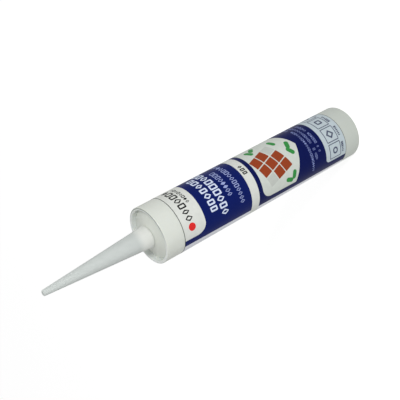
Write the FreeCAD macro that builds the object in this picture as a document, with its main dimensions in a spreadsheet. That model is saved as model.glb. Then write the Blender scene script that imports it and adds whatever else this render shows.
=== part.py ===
"""Caulk tube: barrel with threaded neck, screw-on nozzle, piston, sealant fill and wrap-around label.

Millimetres. The tube stands on its rear rim: +Z runs along the barrel towards the nozzle, the origin is the
centre of the rear rim, and the middle of the label faces -Y.
"""
import FreeCAD, Part
import Sketcher
import math
import os
import re

# Driving dimensions, in millimetres and degrees
SIZES = {
    "barrel_outer_diameter": 49.5,
    "barrel_wall": 1.5,
    "barrel_length": 226,
    "rear_edge_chamfer": 0.4,
    "front_rim_width": 2.4,
    "front_rim_rounding": 0.9,
    "front_rim_inner_rounding": 0.6,
    "front_recess_depth": 4.5,
    "shoulder_thickness": 2,
    "shoulder_rise": 4.5,
    "seat_collar_diameter": 18.4,
    "seat_collar_height": 4.8,
    "neck_core_diameter": 14,
    "neck_bore_diameter": 10.5,
    "neck_height": 16,
    "membrane_thickness": 0.8,
    "thread_depth": 0.6,
    "thread_ridge_width": 1.3,
    "thread_pitch": 2.5,
    "thread_length": 6.5,
    "thread_start": 2.4,
    "nozzle_length": 96.4,
    "nozzle_base_diameter": 19.1,
    "nozzle_tip_diameter": 4.8,
    "nozzle_wall": 1.1,
    "nozzle_tip_thickness": 1.6,
    "nozzle_base_chamfer": 0.4,
    "nozzle_tip_chamfer": 0.6,
    "nozzle_seat_gap": 0.3,
    "nozzle_thread_clearance": 0.3,
    "nozzle_neck_headroom": 0.8,
    "piston_recess": 23,
    "piston_height": 14,
    "piston_clearance": 0.15,
    "piston_lip_height": 2.2,
    "piston_waist_depth": 0.7,
    "piston_skirt_wall": 1.5,
    "piston_crown_thickness": 1.6,
    "piston_edge_chamfer": 0.4,
    "label_thickness": 0.1,
    "label_gap_angle": 12,
    "label_rear_margin": 18.2,
    "label_front_margin": 17.65,
    "print_thickness": 0.05,
    "cutter_reach": 5,
    "print_angle": 172,
    "white_ring_height": 127.1,
    "white_ring_width": 8.65,
    "name_panel_length": 22.6,
    "name_panel_angle": 141.6,
    "name_panel_corner": 9.5,
    "blue_ring_width": 4.55,
    "picture_side_length": 39.5,
    "picture_point_length": 12.9,
    "picture_angle": 147.4,
    "picture_corner": 9.5,
    "symbol_panel_length": 26.4,
    "symbol_panel_angle": 143.4,
    "symbol_panel_corner": 4.5,
}

doc = FreeCAD.newDocument("CaulkTube")
sheet = doc.addObject("Spreadsheet::Sheet", "Sizes")
for row, (alias, size) in enumerate(SIZES.items(), start=1):
    sheet.set(f"A{row}", alias)
    sheet.set(f"B{row}", str(size))
    sheet.setAlias(f"B{row}", alias)

# Heights and radii that several pieces share
DERIVED = {
    "barrel_outer_radius": "barrel_outer_diameter / 2",
    "barrel_inner_radius": "barrel_outer_radius - barrel_wall",
    "recess_floor_height": "barrel_length - front_recess_depth",
    "shoulder_underside_height": "recess_floor_height - shoulder_thickness",
    "collar_foot_height": "recess_floor_height + shoulder_rise",
    "collar_top_height": "recess_floor_height + seat_collar_height",
    "neck_top_height": "recess_floor_height + neck_height",
    "neck_core_radius": "neck_core_diameter / 2",
    "thread_crest_radius": "neck_core_radius + thread_depth",
    "nozzle_base_height": "collar_top_height + nozzle_seat_gap",
    "nozzle_tip_height": "nozzle_base_height + nozzle_length",
    "nozzle_socket_radius": "thread_crest_radius + nozzle_thread_clearance",
    "nozzle_socket_height": "neck_top_height + nozzle_neck_headroom",
    "piston_front_height": "piston_recess + piston_height",
    "piston_lip_radius": "barrel_inner_radius - piston_clearance",
    "piston_waist_radius": "piston_lip_radius - piston_waist_depth",
    "label_front_height": "barrel_length - label_front_margin",
    "label_outer_radius": "barrel_outer_radius + label_thickness",
    "print_outer_radius": "label_outer_radius + print_thickness",
    "white_ring_front_height": "white_ring_height + white_ring_width",
    "picture_front_height": "white_ring_height - blue_ring_width",
    "picture_side_height": "picture_front_height - picture_side_length",
    "picture_point_height": "picture_side_height - picture_point_length",
}
for row, (alias, formula) in enumerate(DERIVED.items(), start=len(SIZES) + 1):
    sheet.set(f"A{row}", alias)
    sheet.set(f"B{row}", "=" + formula)
    sheet.setAlias(f"B{row}", alias)
doc.recompute()


def sized(formula):
    """A formula on sheet aliases, written the way other objects refer to the sheet."""
    aliases = SIZES.keys() | DERIVED.keys()
    return re.sub(r"[a-z_]+", lambda word: "Sizes." * (word[0] in aliases) + word[0], formula)


def value(formula):
    return float(sheet.evalExpression(sized(formula)))


def new_body(name):
    body = doc.addObject("PartDesign::Body", name)
    body.Label = name
    return body


def origin_plane(body, role):
    return next(plane for plane in body.Origin.OriginFeatures if plane.Role == role)


def outline(body, name, corners, plane="YZ_Plane"):
    """A closed straight-sided sketch whose corners are bound to the sheet, as (across, height) formulas."""
    sketch = body.newObject("Sketcher::SketchObject", name)
    sketch.AttachmentSupport = (origin_plane(body, plane), [""])
    sketch.MapMode = "FlatFace"
    points = [FreeCAD.Vector(value(across), value(height), 0) for across, height in corners]
    count = len(points)
    for index in range(count):
        sketch.addGeometry(Part.LineSegment(points[index], points[(index + 1) % count]))
    for index in range(count):
        sketch.addConstraint(Sketcher.Constraint("Coincident", index, 2, (index + 1) % count, 1))
    for index, (across, height) in enumerate(corners):
        bind(sketch, "DistanceX", index, across, points[index].x)
        bind(sketch, "DistanceY", index, height, points[index].y)
    return sketch


def bind(sketch, kind, index, formula, start):
    """Hold one coordinate of a sketch corner at a formula from the sheet."""
    number = sketch.addConstraint(Sketcher.Constraint(kind, -1, 1, index, 1, start))
    name = f"{kind}_{index}"
    sketch.renameConstraint(number, name)
    sketch.setExpression(f"Constraints.{name}", sized(formula))


def revolve(body, name, corners, kind="Revolution", angle="360"):
    """Turn an outline about Z, evenly to both sides of the +Y half plane."""
    sketch = outline(body, name + "_outline", corners)
    turned = body.newObject("PartDesign::" + kind, name)
    turned.Profile = sketch
    turned.ReferenceAxis = (sketch, ["V_Axis"])
    turned.Midplane = True
    turned.setExpression("Angle", sized(angle))
    doc.recompute()
    return turned


def dress_edges(body, name, base, kind, size, wanted):
    """Fillet or chamfer the edges of a feature that the test picks out."""
    picked = [f"Edge{n}" for n, edge in enumerate(base.Shape.Edges, start=1) if wanted(edge)]
    dressed = body.newObject("PartDesign::" + kind, name)
    dressed.Base = (base, picked)
    dressed.setExpression("Radius" if kind == "Fillet" else "Size", sized(size))
    doc.recompute()
    return dressed


def circle_at(edge, radius, height):
    """True for a circle about Z of the given radius and height formulas."""
    if not isinstance(edge.Curve, Part.Circle):
        return False
    centre = edge.Curve.Center
    near = abs(edge.Curve.Radius - value(radius)) < 1e-4
    return near and abs(centre.z - value(height)) < 1e-4


def radial_at(edge, height, angle):
    """True for a short straight edge that points away from Z, at a height and half an angle off +Y."""
    if not isinstance(edge.Curve, Part.Line):
        return False
    middle = edge.CenterOfMass
    off_middle = math.degrees(math.atan2(abs(middle.x), middle.y))
    level = abs(edge.Vertexes[0].Z - edge.Vertexes[-1].Z) < 1e-4
    return level and abs(middle.z - value(height)) < 1e-3 and abs(off_middle - value(angle) / 2) < 1e-2


# Barrel: one HDPE moulding, open at the rear, with a recessed conical front end and a closed threaded neck
def make_barrel():
    body = new_body("barrel")
    shell = revolve(body, "shell", [
        ("barrel_inner_radius", "0"),
        ("barrel_outer_radius", "0"),
        ("barrel_outer_radius", "barrel_length"),
        ("barrel_outer_radius - front_rim_width", "barrel_length"),
        ("barrel_outer_radius - front_rim_width", "recess_floor_height"),
        ("seat_collar_diameter / 2", "collar_foot_height"),
        ("seat_collar_diameter / 2", "collar_top_height"),
        ("neck_core_radius", "collar_top_height"),
        ("neck_core_radius", "neck_top_height"),
        ("0", "neck_top_height"),
        ("0", "neck_top_height - membrane_thickness"),
        ("neck_bore_diameter / 2", "neck_top_height - membrane_thickness"),
        ("neck_bore_diameter / 2", "shoulder_underside_height"),
        ("barrel_inner_radius", "shoulder_underside_height"),
    ])
    lip = dress_edges(body, "front_lip", shell, "Fillet", "front_rim_rounding", lambda edge: (
        circle_at(edge, "barrel_outer_radius", "barrel_length")
    ))
    rim = dress_edges(body, "front_lip_inside", lip, "Fillet", "front_rim_inner_rounding", lambda edge: (
        circle_at(edge, "barrel_outer_radius - front_rim_width", "barrel_length")
    ))
    dress_edges(body, "rear_edges", rim, "Chamfer", "rear_edge_chamfer", lambda edge: (
        circle_at(edge, "barrel_outer_radius", "0") or circle_at(edge, "barrel_inner_radius", "0")
    ))
    first_turn = "collar_top_height + thread_start"
    ridge = outline(body, "thread_ridge", [
        ("neck_core_radius - thread_depth / 2", first_turn + " - thread_ridge_width / 2"),
        ("thread_crest_radius", first_turn + " - thread_ridge_width / 4"),
        ("thread_crest_radius", first_turn + " + thread_ridge_width / 4"),
        ("neck_core_radius - thread_depth / 2", first_turn + " + thread_ridge_width / 2"),
    ])
    thread = body.newObject("PartDesign::AdditiveHelix", "neck_thread")
    thread.Profile = ridge
    thread.ReferenceAxis = (ridge, ["V_Axis"])
    thread.Mode = "pitch-height-angle"
    thread.setExpression("Pitch", sized("thread_pitch"))
    thread.setExpression("Height", sized("thread_length"))
    thread.Angle = 0
    return body


# Nozzle: translucent cone with a plain socket over the neck thread and a closed tip
def make_nozzle():
    body = new_body("nozzle")
    cone = revolve(body, "cone", [
        ("nozzle_socket_radius", "nozzle_base_height"),
        ("nozzle_base_diameter / 2", "nozzle_base_height"),
        ("nozzle_tip_diameter / 2", "nozzle_tip_height"),
        ("0", "nozzle_tip_height"),
        ("0", "nozzle_tip_height - nozzle_tip_thickness"),
        ("nozzle_tip_diameter / 2 - nozzle_wall", "nozzle_tip_height - nozzle_tip_thickness"),
        ("nozzle_socket_radius", "nozzle_socket_height"),
    ])
    tip = dress_edges(body, "tip_edge", cone, "Chamfer", "nozzle_tip_chamfer", lambda edge: (
        circle_at(edge, "nozzle_tip_diameter / 2", "nozzle_tip_height")
    ))
    dress_edges(body, "base_edge", tip, "Chamfer", "nozzle_base_chamfer", lambda edge: (
        circle_at(edge, "nozzle_base_diameter / 2", "nozzle_base_height")
    ))
    return body


# Piston: cup that slides in the barrel on two wiper lips, open to the rear for the gun's push plate
def make_piston():
    body = new_body("piston")
    skirt = "piston_waist_radius - piston_skirt_wall"
    cup = revolve(body, "cup", [
        (skirt, "piston_recess"),
        ("piston_lip_radius", "piston_recess"),
        ("piston_lip_radius", "piston_recess + piston_lip_height"),
        ("piston_waist_radius", "piston_recess + piston_lip_height + piston_waist_depth"),
        ("piston_waist_radius", "piston_front_height - piston_lip_height - piston_waist_depth"),
        ("piston_lip_radius", "piston_front_height - piston_lip_height"),
        ("piston_lip_radius", "piston_front_height"),
        ("0", "piston_front_height"),
        ("0", "piston_front_height - piston_crown_thickness"),
        (skirt, "piston_front_height - piston_crown_thickness"),
    ])
    dress_edges(body, "lip_edges", cup, "Chamfer", "piston_edge_chamfer", lambda edge: (
        circle_at(edge, "piston_lip_radius", "piston_recess")
        or circle_at(edge, "piston_lip_radius", "piston_front_height")
    ))
    return body


# Sealant: the fill between the piston and the shoulder
def make_sealant():
    body = new_body("sealant")
    revolve(body, "fill", [
        ("0", "piston_front_height"),
        ("barrel_inner_radius", "piston_front_height"),
        ("barrel_inner_radius", "shoulder_underside_height"),
        ("0", "shoulder_underside_height"),
    ])
    return body


def film(body, name, inner, outer, rear, front, angle):
    """A thin curved sheet between two radii and two heights."""
    return revolve(body, name, [(inner, rear), (outer, rear), (outer, front), (inner, front)], angle=angle)


def panel_cutter(name, rear, front, angle, rounded, corner):
    """A block right through the film's place, rounded at one end, that cuts a panel out of a print."""
    body = new_body(name)
    block = film(body, name + "_block", "label_outer_radius - cutter_reach",
                 "label_outer_radius + cutter_reach", rear, front, angle)
    dress_edges(body, name + "_corners", block, "Fillet", corner,
                lambda edge: radial_at(edge, rounded, angle))
    return body


def cut_panels(name, field, cutters):
    """Take the panels out of a printed field, one after another."""
    for number, cutter in enumerate(cutters, start=1):
        cut = doc.addObject("Part::Cut", f"{name}_cut_{number}")
        cut.Base = field
        cut.Tool = cutter
        field = cut
    field.Label = name
    face_front(field)
    return field


def face_front(body):
    """Turn a film, which is built about +Y, so that its middle faces -Y."""
    body.Placement = FreeCAD.Placement(FreeCAD.Vector(0, 0, 0), FreeCAD.Rotation(FreeCAD.Vector(0, 0, 1), 180))


# Label: one wrap-around film with a narrow gap at the back
def make_label():
    body = new_body("label")
    film(body, "sheet_film", "barrel_outer_radius", "label_outer_radius", "label_rear_margin",
         "label_front_height", "360 - label_gap_angle")
    face_front(body)
    return body


# Blue print in front of the white ring, with the blank name panel left out of it
def make_label_front_print():
    field = new_body("front_field")
    film(field, "front_film", "label_outer_radius", "print_outer_radius", "white_ring_front_height",
         "label_front_height", "print_angle")
    rear = "label_front_height - name_panel_length"
    name_panel = panel_cutter("name_panel", rear, "label_front_height + cutter_reach", "name_panel_angle",
                              rear, "name_panel_corner")
    return cut_panels("label_front_print", field, [name_panel])


# Blue print behind the white ring, with the picture window and the symbol panel left out of it
def make_label_rear_print():
    field = new_body("rear_field")
    film(field, "rear_film", "label_outer_radius", "print_outer_radius", "label_rear_margin",
         "white_ring_height", "print_angle")
    picture = panel_cutter("picture_window", "picture_side_height", "picture_front_height",
                           "picture_angle", "picture_front_height", "picture_corner")
    half = "label_outer_radius * sin(picture_angle / 2 * 1 deg)"
    point = new_body("picture_point")
    triangle = outline(point, "picture_point_outline", [
        ("0 - " + half, "picture_side_height"),
        ("0", "picture_point_height"),
        (half, "picture_side_height"),
    ], "XZ_Plane")
    prism = point.newObject("PartDesign::Pad", "picture_point_prism")
    prism.Profile = triangle
    prism.Reversed = True
    prism.setExpression("Length", sized("label_outer_radius + cutter_reach"))
    front = "label_rear_margin + symbol_panel_length"
    symbols = panel_cutter("symbol_panel", "label_rear_margin - cutter_reach", front, "symbol_panel_angle",
                           front, "symbol_panel_corner")
    return cut_panels("label_rear_print", field, [picture, point, symbols])


pieces = [
    make_barrel(),
    make_nozzle(),
    make_piston(),
    make_sealant(),
    make_label(),
    make_label_front_print(),
    make_label_rear_print(),
]
doc.recompute()

for item in doc.Objects:
    if "Invalid" in item.State or "Error" in item.State:
        raise RuntimeError(f"{item.Label} did not rebuild: {item.State}")

os.makedirs("parts", exist_ok=True)
for piece in pieces:
    if piece.Shape.isNull() or not piece.Shape.isValid() or len(piece.Shape.Solids) != 1:
        raise RuntimeError(f"{piece.Label} is not one valid solid")
    piece.Shape.exportStep(f"parts/{piece.Label}.step")
    print(f"{piece.Label}: {piece.Shape.Volume:.1f} mm3")
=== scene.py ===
import math

import bpy
from mathutils import Matrix, Quaternion, Vector


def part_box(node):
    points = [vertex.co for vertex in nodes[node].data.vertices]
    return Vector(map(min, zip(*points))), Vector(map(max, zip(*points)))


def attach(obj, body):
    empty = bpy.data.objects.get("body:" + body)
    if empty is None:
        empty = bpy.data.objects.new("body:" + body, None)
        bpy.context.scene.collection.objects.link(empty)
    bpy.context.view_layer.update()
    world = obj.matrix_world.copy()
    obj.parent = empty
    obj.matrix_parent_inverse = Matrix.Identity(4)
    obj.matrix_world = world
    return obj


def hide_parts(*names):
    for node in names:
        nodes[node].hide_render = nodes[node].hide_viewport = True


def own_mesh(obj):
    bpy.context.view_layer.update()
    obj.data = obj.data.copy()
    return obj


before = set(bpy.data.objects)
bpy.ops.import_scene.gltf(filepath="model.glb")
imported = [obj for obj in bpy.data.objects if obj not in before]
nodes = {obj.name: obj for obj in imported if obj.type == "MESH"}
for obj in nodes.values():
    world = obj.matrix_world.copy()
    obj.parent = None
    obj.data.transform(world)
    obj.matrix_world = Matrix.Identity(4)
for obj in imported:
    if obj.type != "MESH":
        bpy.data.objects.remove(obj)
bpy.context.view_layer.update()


bpy.ops.object.select_all(action="DESELECT")


# Barrel
# One injection-moulded tube of natural HDPE: straight wall, raised front lip, recessed conical end,
# threaded neck. The shape comes from the frame; here it gets its waxy, slightly see-through finish,
# greyer where it is empty.
def new_material(name):
    material = bpy.data.materials.new(name)
    material.use_nodes = True
    return material, material.node_tree, material.node_tree.nodes["Principled BSDF"]


def add_node(tree, kind, **settings):
    """A node with its settings and, by socket name, its plain input values."""
    node = tree.nodes.new("ShaderNode" + kind)
    for name, value in settings.items():
        if name in node.inputs:
            node.inputs[name].default_value = value
        else:
            setattr(node, name, value)
    return node


def math_node(tree, operation, *inputs):
    """A Math node fed by sockets or plain numbers."""
    node = add_node(tree, "Math", operation=operation)
    for socket, value in zip(node.inputs, inputs):
        if isinstance(value, (int, float)):
            socket.default_value = value
        else:
            tree.links.new(value, socket)
    return node.outputs["Value"]


def open_group(name, inputs, outputs):
    """A new shader node group with its sockets, and its input and output nodes."""
    tree = bpy.data.node_groups.new(name, "ShaderNodeTree")
    for socket, kind, value in inputs:
        made = tree.interface.new_socket(socket, in_out="INPUT", socket_type="NodeSocket" + kind)
        if value is not None:
            made.default_value = value
    for socket, kind in outputs:
        tree.interface.new_socket(socket, in_out="OUTPUT", socket_type="NodeSocket" + kind)
    return tree, tree.nodes.new("NodeGroupInput"), tree.nodes.new("NodeGroupOutput")


# Moulded polyethylene has a faint waxy unevenness: soft waves, fine grain and patches of gloss
WAVES_PER_METRE = 90.0
GRAIN_PER_METRE = 1600.0
PATCHES_PER_METRE = 35.0
TONE_CHANGE = 0.05
GRAIN_SHARE = 0.12
RELIEF_DEPTH = 0.0002
waxy, waxy_in, waxy_out = open_group(
    "waxy_plastic",
    [("Colour", "Color", None), ("Gloss patches", "Float", 0.1), ("Roughness", "Float", 0.35),
     ("Wave height", "Float", 0.2)],
    [("Colour", "Color"), ("Roughness", "Float"), ("Normal", "Vector")],
)
waxy_place = add_node(waxy, "TexCoord").outputs["Object"]
waves = add_node(waxy, "TexNoise", Scale=WAVES_PER_METRE, Detail=2.0)
grain = add_node(waxy, "TexNoise", Scale=GRAIN_PER_METRE, Detail=3.0)
patches = add_node(waxy, "TexNoise", Scale=PATCHES_PER_METRE, Detail=4.0)
for texture in (waves, grain, patches):
    waxy.links.new(waxy_place, texture.inputs["Vector"])
uneven = math_node(waxy, "SUBTRACT", patches.outputs["Fac"], 0.5)
gloss = math_node(waxy, "MULTIPLY_ADD", uneven, waxy_in.outputs["Gloss patches"],
                  waxy_in.outputs["Roughness"])
waxy.links.new(gloss, waxy_out.inputs["Roughness"])
shade = math_node(waxy, "MULTIPLY_ADD", uneven, TONE_CHANGE, 1.0)
tinted = add_node(waxy, "VectorMath", operation="SCALE")
waxy.links.new(waxy_in.outputs["Colour"], tinted.inputs[0])
waxy.links.new(shade, tinted.inputs["Scale"])
waxy.links.new(tinted.outputs[0], waxy_out.inputs["Colour"])
relief = math_node(waxy, "MULTIPLY_ADD", grain.outputs["Fac"], GRAIN_SHARE, waves.outputs["Fac"])
waxy_bump = add_node(waxy, "Bump", Distance=RELIEF_DEPTH)
waxy.links.new(relief, waxy_bump.inputs["Height"])
waxy.links.new(waxy_in.outputs["Wave height"], waxy_bump.inputs["Strength"])
waxy.links.new(waxy_bump.outputs["Normal"], waxy_out.inputs["Normal"])


def use_waxy(tree, shader, colour, roughness, wave_height):
    """Place the waxy group in a material and join it to the shader."""
    group = add_node(tree, "Group", node_tree=waxy)
    group.inputs["Roughness"].default_value = roughness
    group.inputs["Wave height"].default_value = wave_height
    if isinstance(colour, tuple):
        group.inputs["Colour"].default_value = colour
    else:
        tree.links.new(colour, group.inputs["Colour"])
    tree.links.new(group.outputs["Colour"], shader.inputs["Base Color"])
    tree.links.new(group.outputs["Roughness"], shader.inputs["Roughness"])
    tree.links.new(group.outputs["Normal"], shader.inputs["Normal"])


def give(piece, material):
    piece.data.materials.clear()
    piece.data.materials.append(material)


def let_light_in(shader, shine, share, tint, depth):
    """Set how shiny a plastic is and how much light goes into it, how it is tinted and how deep it goes."""
    shader.inputs["Specular IOR Level"].default_value = shine
    shader.inputs["Subsurface Weight"].default_value = share
    shader.inputs["Subsurface Radius"].default_value = tint
    shader.inputs["Subsurface Scale"].default_value = depth


def fade(tree, value, start, end):
    """0 at the start value, 1 at the end value and smooth between them."""
    ramp = add_node(tree, "MapRange", interpolation_type="SMOOTHSTEP")
    ramp.inputs["From Min"].default_value = start
    ramp.inputs["From Max"].default_value = end
    tree.links.new(value, ramp.inputs["Value"])
    return ramp.outputs["Result"]


def blend(tree, share, first, second):
    """The first colour, plain or from a socket, where the share is 0, and the second where it is 1."""
    mix = add_node(tree, "Mix", data_type="RGBA")
    tree.links.new(share, mix.inputs["Factor"])
    if isinstance(first, tuple):
        mix.inputs["A"].default_value = first
    else:
        tree.links.new(first, mix.inputs["A"])
    mix.inputs["B"].default_value = second
    return mix.outputs["Result"]


FILLED_WALL = (0.70, 0.728, 0.672, 1)
EMPTY_WALL = (0.60, 0.64, 0.59, 1)
EMPTY_BEHIND = 0.012
FILLED_AHEAD = 0.004
# Painted light on the front lip: its colour, and where the lip lies
LIP_PAINTED_LIGHT = (0.79, 0.82, 0.80, 1)
LIP_INSIDE = 0.0219
LIP_OUTSIDE = 0.0243
LIP_FROM = 0.2216
# Painted shade on the near side of the rim's rounded outer edge: its colour, and where it lies
RIM_PAINTED_SHADE = (0.27, 0.30, 0.26, 1)
RIM_EDGE = 0.0239
RIM_EDGE_WIDTH = 0.0008
RIM_EDGE_FROM = 0.2252
RIM_SHADE_SIDE = (0.42, -0.91, 0)
RIM_SHADE_NONE = -0.004
RIM_SHADE_FULL = 0.018
piston_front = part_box("piston")[1].z

hdpe, hdpe_tree, hdpe_shader = new_material("natural_hdpe")
wall_place = add_node(hdpe_tree, "TexCoord").outputs["Object"]
wall_split = add_node(hdpe_tree, "SeparateXYZ")
hdpe_tree.links.new(wall_place, wall_split.inputs[0])
wall_height = wall_split.outputs["Z"]
fullness = fade(hdpe_tree, wall_height, piston_front - EMPTY_BEHIND, piston_front + FILLED_AHEAD)
wall_colour = blend(hdpe_tree, fullness, EMPTY_WALL, FILLED_WALL)

# Painted light: the thin front lip is painted whiter, for the light that passes through it
across_axis = add_node(hdpe_tree, "VectorMath", operation="MULTIPLY")
across_axis.inputs[1].default_value = (1, 1, 0)
hdpe_tree.links.new(wall_place, across_axis.inputs[0])
axis_distance = add_node(hdpe_tree, "VectorMath", operation="LENGTH")
hdpe_tree.links.new(across_axis.outputs[0], axis_distance.inputs[0])
from_axis = axis_distance.outputs["Value"]
in_lip = math_node(hdpe_tree, "MULTIPLY",
                   math_node(hdpe_tree, "GREATER_THAN", from_axis, LIP_INSIDE),
                   math_node(hdpe_tree, "LESS_THAN", from_axis, LIP_OUTSIDE))
in_lip = math_node(hdpe_tree, "MULTIPLY", in_lip,
                   math_node(hdpe_tree, "GREATER_THAN", wall_height, LIP_FROM))
lip_with_painted_light = blend(hdpe_tree, in_lip, wall_colour, LIP_PAINTED_LIGHT)

# Painted shade: its rounded outer edge is painted darker on the near side
from_edge = math_node(hdpe_tree, "ABSOLUTE", math_node(hdpe_tree, "SUBTRACT", from_axis, RIM_EDGE))
edge_shade = fade(hdpe_tree, from_edge, RIM_EDGE_WIDTH, 0.0)
towards_camera = add_node(hdpe_tree, "VectorMath", operation="DOT_PRODUCT")
towards_camera.inputs[1].default_value = RIM_SHADE_SIDE
hdpe_tree.links.new(wall_place, towards_camera.inputs[0])
near_side = fade(hdpe_tree, towards_camera.outputs["Value"], RIM_SHADE_NONE, RIM_SHADE_FULL)
painted_shade_mask = math_node(hdpe_tree, "MULTIPLY", edge_shade, near_side)
painted_shade_mask = math_node(hdpe_tree, "MULTIPLY", painted_shade_mask,
                     math_node(hdpe_tree, "GREATER_THAN", wall_height, RIM_EDGE_FROM))
rim_with_painted_shade = blend(hdpe_tree, painted_shade_mask, lip_with_painted_light, RIM_PAINTED_SHADE)
use_waxy(hdpe_tree, hdpe_shader, rim_with_painted_shade, roughness=0.36, wave_height=0.18)
let_light_in(hdpe_shader, shine=0.4, share=0.25, tint=(1.0, 0.95, 0.85), depth=0.002)
give(nodes["barrel"], hdpe)


# Piston
# A cup of white polyethylene that slides in the barrel on two wiper lips; its hollow faces the rear.
# Moulded in one piece and pressed in behind the sealant, so only its underside can be seen.
PISTON_WHITE = (0.80, 0.82, 0.79, 1)
ldpe, ldpe_tree, ldpe_shader = new_material("white_polyethylene")
use_waxy(ldpe_tree, ldpe_shader, PISTON_WHITE, roughness=0.42, wave_height=0.25)
give(nodes["piston"], ldpe)


# Sealant
# White silicone paste that fills the barrel from the piston to the shoulder, smooth where it meets the wall.
# In use it is squeezed forward as the piston rises, towards the underside of the shoulder; here it keeps one
# fixed shape.
FILL_SIDES = 96
FILL_WALL_GAP = 0.0001
FILL_EDGE = 0.0008
FILL_CORNER = math.radians(60)
SMOOTH_BELOW = math.radians(40)
PASTE_WHITE = (0.82, 0.83, 0.81, 1)
fill_low, fill_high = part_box("sealant")
fill_radius = fill_high.x - FILL_WALL_GAP
fill_depth = fill_high.z - fill_low.z - 2 * FILL_WALL_GAP
bpy.ops.mesh.primitive_cylinder_add(vertices=FILL_SIDES, radius=fill_radius, depth=fill_depth,
                                    location=(fill_low + fill_high) / 2)
fill = bpy.context.object
fill.name = "sealant_fill"
bpy.ops.object.mode_set(mode="EDIT")
bpy.ops.mesh.select_all(action="SELECT")
bpy.ops.mesh.select_mode(type="EDGE")
bpy.ops.mesh.select_all(action="DESELECT")
bpy.ops.mesh.edges_select_sharp(sharpness=FILL_CORNER)
bpy.ops.mesh.bevel(offset=FILL_EDGE, segments=3)
bpy.ops.object.mode_set(mode="OBJECT")
bpy.ops.object.transform_apply(location=True, rotation=True, scale=True)
bpy.ops.object.shade_smooth_by_angle(angle=SMOOTH_BELOW)
bpy.ops.object.select_all(action="DESELECT")

paste, paste_tree, paste_shader = new_material("silicone_paste")
use_waxy(paste_tree, paste_shader, PASTE_WHITE, roughness=0.28, wave_height=0.5)
give(fill, paste)
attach(fill, "barrel")
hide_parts("sealant")
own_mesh(fill)


# Nozzle
# A long hollow cone of natural polyethylene, moulded in one piece with a closed blunt tip and screwed on
# the neck. Its thin wall is milky: light passes, and the white neck shows through just above the recess.
NOZZLE_FAR = (0.59, 0.63, 0.61, 1)
NOZZLE_NEAR_NECK = (0.79, 0.81, 0.765, 1)
NECK_BLEND = 0.004
neck_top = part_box("barrel")[1].z

milky, milky_tree, milky_shader = new_material("milky_polyethylene")
cone_place = add_node(milky_tree, "TexCoord")
cone_split = add_node(milky_tree, "SeparateXYZ")
milky_tree.links.new(cone_place.outputs["Object"], cone_split.inputs[0])
neck_shows = fade(milky_tree, cone_split.outputs["Z"], neck_top + NECK_BLEND, neck_top - NECK_BLEND)
cone_colour = blend(milky_tree, neck_shows, NOZZLE_FAR, NOZZLE_NEAR_NECK)
use_waxy(milky_tree, milky_shader, cone_colour, roughness=0.45, wave_height=0.15)
let_light_in(milky_shader, shine=0.35, share=0.35, tint=(1.0, 1.0, 1.0), depth=0.003)
give(nodes["nozzle"], milky)


# Label
# A thin printed film wrapped round the barrel, with a narrow gap at the back where its ends nearly meet.
# The print is blue fields with white panels; words are rows of plain shapes, and the picture is wall tiles.
label_low, label_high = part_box("label")
LABEL_RADIUS = 0.02475
LABEL_THICKNESS = 0.00006
LABEL_LIFT = 0.00003
LABEL_GAP = math.radians(12)
LABEL_SIDES = 240

bpy.ops.mesh.primitive_cylinder_add(vertices=LABEL_SIDES, radius=LABEL_RADIUS + LABEL_LIFT,
                                    depth=label_high.z - label_low.z, end_fill_type="NOTHING",
                                    location=(0, 0, (label_high.z + label_low.z) / 2))
label = bpy.context.object
label.name = "label_film"
bpy.ops.object.mode_set(mode="EDIT")
bpy.ops.mesh.select_all(action="DESELECT")
bpy.ops.mesh.select_mode(type="FACE")
bpy.ops.object.mode_set(mode="OBJECT")
for face in label.data.polygons:
    turn = math.atan2(face.center.x, face.center.y)
    face.select = abs(turn) < LABEL_GAP / 2
bpy.ops.object.mode_set(mode="EDIT")
bpy.ops.mesh.delete(type="FACE")
bpy.ops.object.mode_set(mode="OBJECT")
bpy.ops.object.transform_apply(location=True, rotation=True, scale=True)
thicken = label.modifiers.new("film_thickness", "SOLIDIFY")
thicken.thickness = LABEL_THICKNESS
thicken.offset = 1
bpy.ops.object.modifier_apply(modifier=thicken.name)

# The print is laid out in millimetres: across from the middle of the label, and up from the rear rim.
# The film went on with a slight lean, which shows where the print ends along the side.
PRINT_LEAN = 0.022
LEAN_FROM = 200
layout = label.data.uv_layers[0]
layout.name = "print_millimetres"
for face in label.data.polygons:
    for corner in face.loop_indices:
        spot = label.data.vertices[label.data.loops[corner].vertex_index].co
        across = math.atan2(spot.x, -spot.y) * LABEL_RADIUS
        up = spot.z * 1000
        layout.data[corner].uv = (across * 1000 + PRINT_LEAN * (LEAN_FROM - up), up)
bpy.ops.object.shade_smooth_by_angle(angle=SMOOTH_BELOW)
bpy.ops.object.select_all(action="DESELECT")

# In millimetres: how soft an inked edge is, and a stroke wide enough to fill any printed shape
EDGE_SOFTNESS = 0.07
STROKE_FILLS = 400.0


def inked(tree, distance):
    """1 where a signed distance in millimetres lies inside a printed shape, 0 outside, soft at its edge."""
    edge = add_node(tree, "MapRange")
    edge.inputs["From Min"].default_value = EDGE_SOFTNESS
    edge.inputs["From Max"].default_value = -EDGE_SOFTNESS
    tree.links.new(distance, edge.inputs["Value"])
    return edge.outputs["Result"]


def outlined(tree, distance, stroke):
    """Only the outer stroke of a shape that is given by its signed distance."""
    past_stroke = math_node(tree, "SUBTRACT", math_node(tree, "MULTIPLY", distance, -1.0), stroke)
    return math_node(tree, "MAXIMUM", distance, past_stroke)


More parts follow.
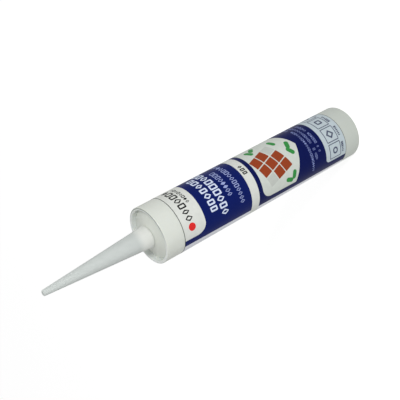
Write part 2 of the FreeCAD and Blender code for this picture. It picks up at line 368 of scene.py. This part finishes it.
# One printed block with rounded corners, solid where its stroke is wide
block, block_in, block_out = open_group(
    "printed_block",
    [("Across", "Float", 0.0), ("Up", "Float", 0.0), ("Middle across", "Float", 0.0),
     ("Middle up", "Float", 0.0), ("Half width", "Float", 1.0), ("Half height", "Float", 1.0),
     ("Corner", "Float", 0.1), ("Turn", "Float", 0.0), ("Stroke", "Float", STROKE_FILLS)],
    [("Mask", "Float")],
)
from_middle_x = math_node(block, "SUBTRACT", block_in.outputs["Across"], block_in.outputs["Middle across"])
from_middle_y = math_node(block, "SUBTRACT", block_in.outputs["Up"], block_in.outputs["Middle up"])
cosine = math_node(block, "COSINE", block_in.outputs["Turn"])
sine = math_node(block, "SINE", block_in.outputs["Turn"])
along_x = math_node(block, "ADD", math_node(block, "MULTIPLY", from_middle_x, cosine),
                    math_node(block, "MULTIPLY", from_middle_y, sine))
along_y = math_node(block, "SUBTRACT", math_node(block, "MULTIPLY", from_middle_y, cosine),
                    math_node(block, "MULTIPLY", from_middle_x, sine))


def beyond(along, half):
    """How far a point lies past the straight part of a side."""
    straight = math_node(block, "SUBTRACT", block_in.outputs[half], block_in.outputs["Corner"])
    return math_node(block, "SUBTRACT", math_node(block, "ABSOLUTE", along), straight)


past_x = beyond(along_x, "Half width")
past_y = beyond(along_y, "Half height")
outer_x = math_node(block, "MAXIMUM", past_x, 0.0)
outer_y = math_node(block, "MAXIMUM", past_y, 0.0)
outside = math_node(block, "SQRT", math_node(block, "ADD", math_node(block, "MULTIPLY", outer_x, outer_x),
                                             math_node(block, "MULTIPLY", outer_y, outer_y)))
inside = math_node(block, "MINIMUM", math_node(block, "MAXIMUM", past_x, past_y), 0.0)
distance = math_node(block, "SUBTRACT", math_node(block, "ADD", outside, inside),
                     block_in.outputs["Corner"])
block_outline = outlined(block, distance, block_in.outputs["Stroke"])
block.links.new(inked(block, block_outline), block_out.inputs["Mask"])

# One printed row of marks that stands for a word: diamonds, solid diamonds and frames in a mixed order
MARK_HALF_WIDTH = 0.37
MARK_WIDTH_CHANGE = 0.08
NARROWEST_MARK = 0.01
FRAMES_BELOW = 0.45
SOLID_ABOVE = 0.82
SOLID_DEPTH = -50.0
DIAMOND_SQUARENESS = 1.15
FRAME_MORE_SQUARE = 6.0
row, row_in, row_out = open_group(
    "printed_row",
    [("Across", "Float", 0.0), ("Up", "Float", 0.0), ("Start", "Float", 0.0), ("Middle up", "Float", 0.0),
     ("Pitch", "Float", 1.0), ("Marks", "Float", 1.0), ("Half height", "Float", 1.0),
     ("Stroke", "Float", 0.5), ("Gaps", "Float", 0.0), ("Order", "Float", 0.0)],
    [("Mask", "Float")],
)
past_start = math_node(row, "SUBTRACT", row_in.outputs["Across"], row_in.outputs["Start"])
in_row = math_node(row, "DIVIDE", past_start, row_in.outputs["Pitch"])
mark = math_node(row, "FLOOR", in_row)
chance = add_node(row, "TexWhiteNoise", noise_dimensions="1D")
row.links.new(math_node(row, "ADD", mark, row_in.outputs["Order"]), chance.inputs["W"])
chances = add_node(row, "SeparateColor")
row.links.new(chance.outputs["Color"], chances.inputs[0])
half_width = math_node(row, "MULTIPLY", row_in.outputs["Pitch"],
                       math_node(row, "MULTIPLY_ADD", chances.outputs[0], MARK_WIDTH_CHANGE,
                                 MARK_HALF_WIDTH))
from_mark = math_node(row, "SUBTRACT", math_node(row, "SUBTRACT", in_row, mark), 0.5)
side_x = math_node(row, "MULTIPLY", math_node(row, "ABSOLUTE", from_mark), row_in.outputs["Pitch"])
from_line = math_node(row, "SUBTRACT", row_in.outputs["Up"], row_in.outputs["Middle up"])
side_y = math_node(row, "ABSOLUTE", from_line)
is_frame = math_node(row, "LESS_THAN", chances.outputs[1], FRAMES_BELOW)
is_solid = math_node(row, "GREATER_THAN", chances.outputs[1], SOLID_ABOVE)
squareness = math_node(row, "MULTIPLY_ADD", is_frame, FRAME_MORE_SQUARE, DIAMOND_SQUARENESS)


def past_shape(narrower):
    """How far a point lies past a mark's outline, when the outline is moved in by a width."""
    wide = math_node(row, "MAXIMUM", math_node(row, "SUBTRACT", half_width, narrower), NARROWEST_MARK)
    high = math_node(row, "SUBTRACT", row_in.outputs["Half height"], narrower)
    reach_x = math_node(row, "POWER", math_node(row, "DIVIDE", side_x, wide), squareness)
    reach_y = math_node(row, "POWER", math_node(row, "DIVIDE", side_y, high), squareness)
    spread = math_node(row, "ADD", reach_x, reach_y)
    spread = math_node(row, "POWER", spread, math_node(row, "DIVIDE", 1.0, squareness))
    return math_node(row, "MULTIPLY", math_node(row, "SUBTRACT", spread, 1.0), wide)


hollow = math_node(row, "MULTIPLY", past_shape(row_in.outputs["Stroke"]), -1.0)
in_stroke = math_node(row, "MULTIPLY_ADD", is_solid, SOLID_DEPTH, hollow)
row_mask = inked(row, math_node(row, "MAXIMUM", past_shape(0.0), in_stroke))
for test, low, high in (("GREATER_THAN", in_row, 0.0), ("LESS_THAN", in_row, row_in.outputs["Marks"]),
                        ("GREATER_THAN", chances.outputs[2], row_in.outputs["Gaps"])):
    row_mask = math_node(row, "MULTIPLY", row_mask, math_node(row, test, low, high))
row.links.new(row_mask, row_out.inputs["Mask"])

# Inks, as they look on the film; the two line colours are painted shade at the film's edges
FILM_WHITE = (0.70, 0.72, 0.68, 1)
FILM_BACK = (0.76, 0.775, 0.83, 1)
PANEL_WHITE = (0.54, 0.62, 0.66, 1)
PAPER_WHITE = (0.63, 0.67, 0.62, 1)
BLUE = (0.0015, 0.009, 0.112, 1)
# The front blue made darker: painted shade for the rear of the tube
REAR_BLUE_SHADED = (0.0015, 0.006, 0.080, 1)
WORD_WHITE = (0.66, 0.74, 0.90, 1)
WORD_LAVENDER = (0.32, 0.38, 0.66, 1)
SMALL_LAVENDER = (0.22, 0.27, 0.54, 1)
BLACK = (0.010, 0.011, 0.012, 1)
RED = (0.72, 0.025, 0.025, 1)
GREY = (0.085, 0.10, 0.16, 1)
EDGE_SHADE_GREEN = (0.035, 0.045, 0.035, 1)
EDGE_SHADE_OLIVE = (0.12, 0.13, 0.10, 1)
TERRACOTTA = (0.31, 0.053, 0.016, 1)
GREEN = (0.04, 0.27, 0.062, 1)
STONE = (0.54, 0.57, 0.53, 1)

print_film, print_tree, print_shader = new_material("printed_film")
print_place = add_node(print_tree, "UVMap", uv_map="print_millimetres")
print_split = add_node(print_tree, "SeparateXYZ")
print_tree.links.new(print_place.outputs["UV"], print_split.inputs[0])
ink = {"colour": FILM_BACK}


def print_group(shape, **values):
    """The mask of a printed block or row, with its sizes in millimetres."""
    group = add_node(print_tree, "Group", node_tree=shape)
    print_tree.links.new(print_split.outputs["X"], group.inputs["Across"])
    print_tree.links.new(print_split.outputs["Y"], group.inputs["Up"])
    for name, value in values.items():
        group.inputs[name.replace("_", " ")].default_value = value
    return group.outputs["Mask"]


def mask_of(middle, size, corner=0.0, turn=0.0, stroke=STROKE_FILLS):
    """The mask of one block, given its middle and size as (across, up)."""
    return print_group(block, Middle_across=middle[0], Middle_up=middle[1], Half_width=size[0] / 2,
                       Half_height=size[1] / 2, Corner=corner, Turn=turn, Stroke=stroke)


def lay_ink(mask, colour):
    """Print a colour over what is already on the film, where the mask is 1."""
    ink["colour"] = blend(print_tree, mask, ink["colour"], colour)


def word_row(left, right, up, height, marks, stroke, colour, order, gaps=0.0):
    """Print a row of outline shapes between two places across the label."""
    lay_ink(print_group(row, Start=left, Middle_up=up, Pitch=(right - left) / marks, Marks=marks,
                        Half_height=height / 2, Stroke=stroke, Gaps=gaps, Order=order), colour)


ALL_ROUND = 400
RING_REAR = 127.1
RING_FRONT = 135.75
RING_OVERLAP = 1
PRINT_WIDTH = 74.4
label_rear = label_low.z * 1000
label_front = label_high.z * 1000

# White ring between the blue fields
ring_middle = (RING_REAR + RING_FRONT) / 2
lay_ink(mask_of((0, ring_middle), (ALL_ROUND, RING_FRONT - RING_REAR + RING_OVERLAP)), FILM_WHITE)
# The rear blue field uses the darker blue: painted shade
rear_field = (RING_REAR + label_rear) / 2
lay_ink(mask_of((0, rear_field), (PRINT_WIDTH, RING_REAR - label_rear)), REAR_BLUE_SHADED)
front_field = (RING_FRONT + label_front) / 2
lay_ink(mask_of((0, front_field), (PRINT_WIDTH, label_front - RING_FRONT)), BLUE)

# Name panel: white and open to the front edge, with a red disc
PANEL_REACH = 40
NAME_PANEL_LENGTH = 22.6
NAME_PANEL_WIDTH = 62.4
NAME_PANEL_CORNER = 9.5
name_panel_up = label_front - NAME_PANEL_LENGTH + PANEL_REACH / 2
lay_ink(mask_of((0, name_panel_up), (NAME_PANEL_WIDTH, PANEL_REACH), NAME_PANEL_CORNER), FILM_WHITE)
DISC = 6.8
DISC_MIDDLE = (-21.2, 199.2)
lay_ink(mask_of(DISC_MIDDLE, (DISC, DISC), DISC / 2), RED)

# Two rows on the name panel, two bold and two lighter ones on the blue field, a small one on the white ring.
# In each row: left end, right end, place up, height, number of marks, stroke, colour, order of the marks.
WORD_ROWS = (
    (-16.6, 22.4, 199.2, 7.0, 7, 1.3, BLACK, 3.0),
    (-2.5, 20.5, 192.4, 3.4, 8, 0.7, BLACK, 41.0),
    (-19.0, 20.4, 174.6, 6.9, 7, 1.35, WORD_WHITE, 60.0),
    (-25.8, 26.2, 165.0, 7.4, 9, 1.35, WORD_WHITE, 82.0),
    (-13.2, 14.4, 155.2, 5.2, 8, 0.68, WORD_LAVENDER, 101.0),
    (-23.6, 25.4, 145.6, 4.8, 14, 0.68, WORD_LAVENDER, 120.0),
    (-3.1, 7.4, 131.5, 4.6, 3, 1.0, BLACK, 143.0),
)
for word in WORD_ROWS:
    word_row(*word)

# Picture window: rounded front corners and a pointed rear
BLUE_RING = 4.55
WINDOW_SIDE = 39.5
WINDOW_POINT = 12.9
WINDOW_HALF = 33.0
WINDOW_MIDDLE = 1.8
WINDOW_LENGTH = 80
WINDOW_CORNER = 9.5
window_front = RING_REAR - BLUE_RING
window = mask_of((WINDOW_MIDDLE, window_front - WINDOW_LENGTH / 2), (2 * WINDOW_HALF, WINDOW_LENGTH),
                 WINDOW_CORNER)
slope = WINDOW_POINT / WINDOW_HALF
off_middle = math_node(print_tree, "SUBTRACT", print_split.outputs["X"], WINDOW_MIDDLE)
point_line = math_node(print_tree, "MULTIPLY_ADD", math_node(print_tree, "ABSOLUTE", off_middle), slope,
                       window_front - WINDOW_SIDE - WINDOW_POINT)
behind_point = math_node(print_tree, "SUBTRACT", point_line, print_split.outputs["Y"])
window = math_node(print_tree, "MULTIPLY", window, inked(print_tree, behind_point))
lay_ink(window, PAPER_WHITE)

# Terracotta wall tiles with two of stone, and green leaves, each as its place across and up and its turn
TILE = 9.2
TILE_CORNER = 0.7
JOINT = 0.9
TILE_TURN = math.radians(20)
TILES_MIDDLE = Vector((-4.5, 103.5))
STONE_TILES = ((0, 2), (2, 0))
for column in range(3):
    for line in range(3):
        step = Vector((column - 1, line - 1)) * (TILE + JOINT)
        step.rotate(Matrix.Rotation(TILE_TURN, 2))
        tone = STONE if (column, line) in STONE_TILES else TERRACOTTA
        tile = mask_of(TILES_MIDDLE + step, (TILE, TILE), TILE_CORNER, TILE_TURN)
        lay_ink(math_node(print_tree, "MULTIPLY", tile, window), tone)
LEAF = (8.6, 4.2)
LEAF_CORNER = 2.1
LEAVES = ((15.0, 113.0, 0.5), (18.5, 107.5, -0.7), (14.0, 88.0, 0.3), (-25.5, 91.0, 1.2),
          (-22.5, 85.0, -0.3), (-2.0, 79.5, 0.6), (4.5, 78.0, -0.4))
for leaf_across, leaf_up, leaf_turn in LEAVES:
    lay_ink(mask_of((leaf_across, leaf_up), LEAF, LEAF_CORNER, leaf_turn), GREEN)

# Three small pale rows behind the picture window, given like the others, with the share left out at the end
SMALL_ROWS = (
    (-30.0, 36.0, 61.4, 2.8, 30, 0.42, SMALL_LAVENDER, 160.0, 0.16),
    (-20.0, 26.0, 56.3, 2.8, 21, 0.42, SMALL_LAVENDER, 203.0, 0.16),
    (-14.7, 21.0, 51.0, 2.8, 17, 0.42, SMALL_LAVENDER, 236.0, 0.16),
)
for word in SMALL_ROWS:
    word_row(*word)

# Symbol panel: pale and open to the rear edge, with framed plain shapes over short grey rows
SYMBOL_PANEL_LENGTH = 26.4
SYMBOL_PANEL_WIDTH = 66.0
SYMBOL_PANEL_CORNER = 4.5
SYMBOL_PANEL_MIDDLE = 3.5
symbol_panel_up = label_rear + SYMBOL_PANEL_LENGTH - PANEL_REACH / 2
lay_ink(mask_of((SYMBOL_PANEL_MIDDLE, symbol_panel_up), (SYMBOL_PANEL_WIDTH, PANEL_REACH),
                SYMBOL_PANEL_CORNER), PANEL_WHITE)
FRAME = 14.4
FRAME_UP = 32.5
FRAME_FIRST = -20.3
FRAME_PITCH = 15.7
FRAME_CORNER = 0.9
FRAME_STROKE = 0.8
SYMBOL = (6.4, 6.0)
SYMBOL_CORNERS = (2.9, 0.3, 1.4, 2.2)
SYMBOL_TURN = 0.785
SYMBOL_STROKE = 1.5
CAPTION_UP = 23.0
CAPTION_HALF = 5.0
CAPTION_HEIGHT = 2.8
CAPTION_MARKS = 6
CAPTION_STROKE = 0.8
CAPTION_ORDER = 260.0
CAPTION_ORDER_STEP = 9
for number, symbol_corner in enumerate(SYMBOL_CORNERS):
    spot = number * FRAME_PITCH + FRAME_FIRST
    lay_ink(mask_of((spot, FRAME_UP), (FRAME, FRAME), FRAME_CORNER, 0.0, FRAME_STROKE), GREY)
    lay_ink(mask_of((spot, FRAME_UP), SYMBOL, symbol_corner, SYMBOL_TURN * number, SYMBOL_STROKE), GREY)
    word_row(spot - CAPTION_HALF, spot + CAPTION_HALF, CAPTION_UP, CAPTION_HEIGHT, CAPTION_MARKS,
             CAPTION_STROKE, GREY, CAPTION_ORDER + CAPTION_ORDER_STEP * number)

# Painted shade at the film's edges: a thin dark line round its front edge, and an olive one round its rear
# edge
EDGE_LINE = 1.0
lay_ink(mask_of((0, label_front), (ALL_ROUND, EDGE_LINE)), EDGE_SHADE_GREEN)
lay_ink(mask_of((0, label_rear), (ALL_ROUND, EDGE_LINE)), EDGE_SHADE_OLIVE)

# Varnish over the print: fine film texture and slight density changes in the ink
INK_CLOUDS_PER_MILLIMETRE = 0.25
INK_CHANGE = 0.16
INK_LEAST = 0.92
ink_cloud = add_node(print_tree, "TexNoise", Scale=INK_CLOUDS_PER_MILLIMETRE, Detail=3.0)
print_tree.links.new(print_place.outputs["UV"], ink_cloud.inputs["Vector"])
ink_density = math_node(print_tree, "MULTIPLY_ADD", ink_cloud.outputs["Fac"], INK_CHANGE, INK_LEAST)
printed = add_node(print_tree, "VectorMath", operation="SCALE")
print_tree.links.new(ink["colour"], printed.inputs[0])
print_tree.links.new(ink_density, printed.inputs["Scale"])
use_waxy(print_tree, print_shader, printed.outputs[0], roughness=0.34, wave_height=0.12)
print_shader.inputs["Specular IOR Level"].default_value = 0.07
print_shader.inputs["Sheen Weight"].default_value = 0.10
print_shader.inputs["Sheen Roughness"].default_value = 0.3
give(label, print_film)
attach(label, "barrel")
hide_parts("label", "label_front_print", "label_rear_print")


# Floor, light and camera
# A pale floor under the standing tube, a small soft key light, a weaker soft light from the side and an
# even pale surround. The camera looks down on the nozzle end and is turned so that the tube lies across
# the picture.
FLOOR_SIZE = 12
FLOOR_GREY = (0.8, 0.8, 0.8, 1)
FLOOR_LIFT = 0.55
bpy.ops.mesh.primitive_plane_add(size=FLOOR_SIZE, location=(0, 0, 0))
floor = bpy.context.object
floor.name = "floor"
pale, pale_tree, pale_shader = new_material("pale_floor")
pale_shader.inputs["Base Color"].default_value = FLOOR_GREY
pale_shader.inputs["Roughness"].default_value = 0.9
pale_shader.inputs["Specular IOR Level"].default_value = 0.0
rays = add_node(pale_tree, "LightPath")
pale_shader.inputs["Emission Color"].default_value = (1, 1, 1, 1)
pale_tree.links.new(math_node(pale_tree, "MULTIPLY", rays.outputs["Is Camera Ray"], FLOOR_LIFT),
                    pale_shader.inputs["Emission Strength"])
give(floor, pale)

world = bpy.data.worlds.new("pale_surround")
bpy.context.scene.world = world
world.use_nodes = True
surround = world.node_tree.nodes["Background"]
surround.inputs["Color"].default_value = (1, 1, 1, 1)
SURROUND_LIGHT = 0.54
world_rays = add_node(world.node_tree, "LightPath")
world.node_tree.links.new(math_node(world.node_tree, "MULTIPLY_ADD", world_rays.outputs["Is Camera Ray"],
                                    1 - SURROUND_LIGHT, SURROUND_LIGHT), surround.inputs["Strength"])

CAMERA_PLACE = Vector((-0.23537, -0.50476, 0.49387))
CAMERA_AIM = Vector((0.00633, 0.0, 0.16665))
CAMERA_ROLL = math.radians(-118.285)
CAMERA_VIEW = math.radians(28.897)


def place_softbox(name, place, size, power):
    """A square soft light that faces the middle of the tube."""
    light_data = bpy.data.lights.new(name, "AREA")
    light_data.shape = "SQUARE"
    light_data.size = size
    light_data.energy = power
    softbox = bpy.data.objects.new(name, light_data)
    bpy.context.scene.collection.objects.link(softbox)
    softbox.location = place
    softbox.rotation_mode = "QUATERNION"
    softbox.rotation_quaternion = (CAMERA_AIM - place).to_track_quat("-Z", "Y")


place_softbox("key_softbox", Vector((-0.05, -0.66, 0.59)), size=0.22, power=2.55)
place_softbox("side_softbox", Vector((-0.56, -0.28, 0.16)), size=0.40, power=0.55)

camera_data = bpy.data.cameras.new("camera")
camera_data.sensor_fit = "HORIZONTAL"
camera_data.angle = CAMERA_VIEW
camera = bpy.data.objects.new("camera", camera_data)
bpy.context.scene.collection.objects.link(camera)
camera.location = CAMERA_PLACE
camera.rotation_mode = "QUATERNION"
facing = (CAMERA_AIM - CAMERA_PLACE).to_track_quat("-Z", "Y")
camera.rotation_quaternion = facing @ Quaternion((0, 0, 1), CAMERA_ROLL)
bpy.context.scene.camera = camera
bpy.context.scene.view_settings.view_transform = "Standard"
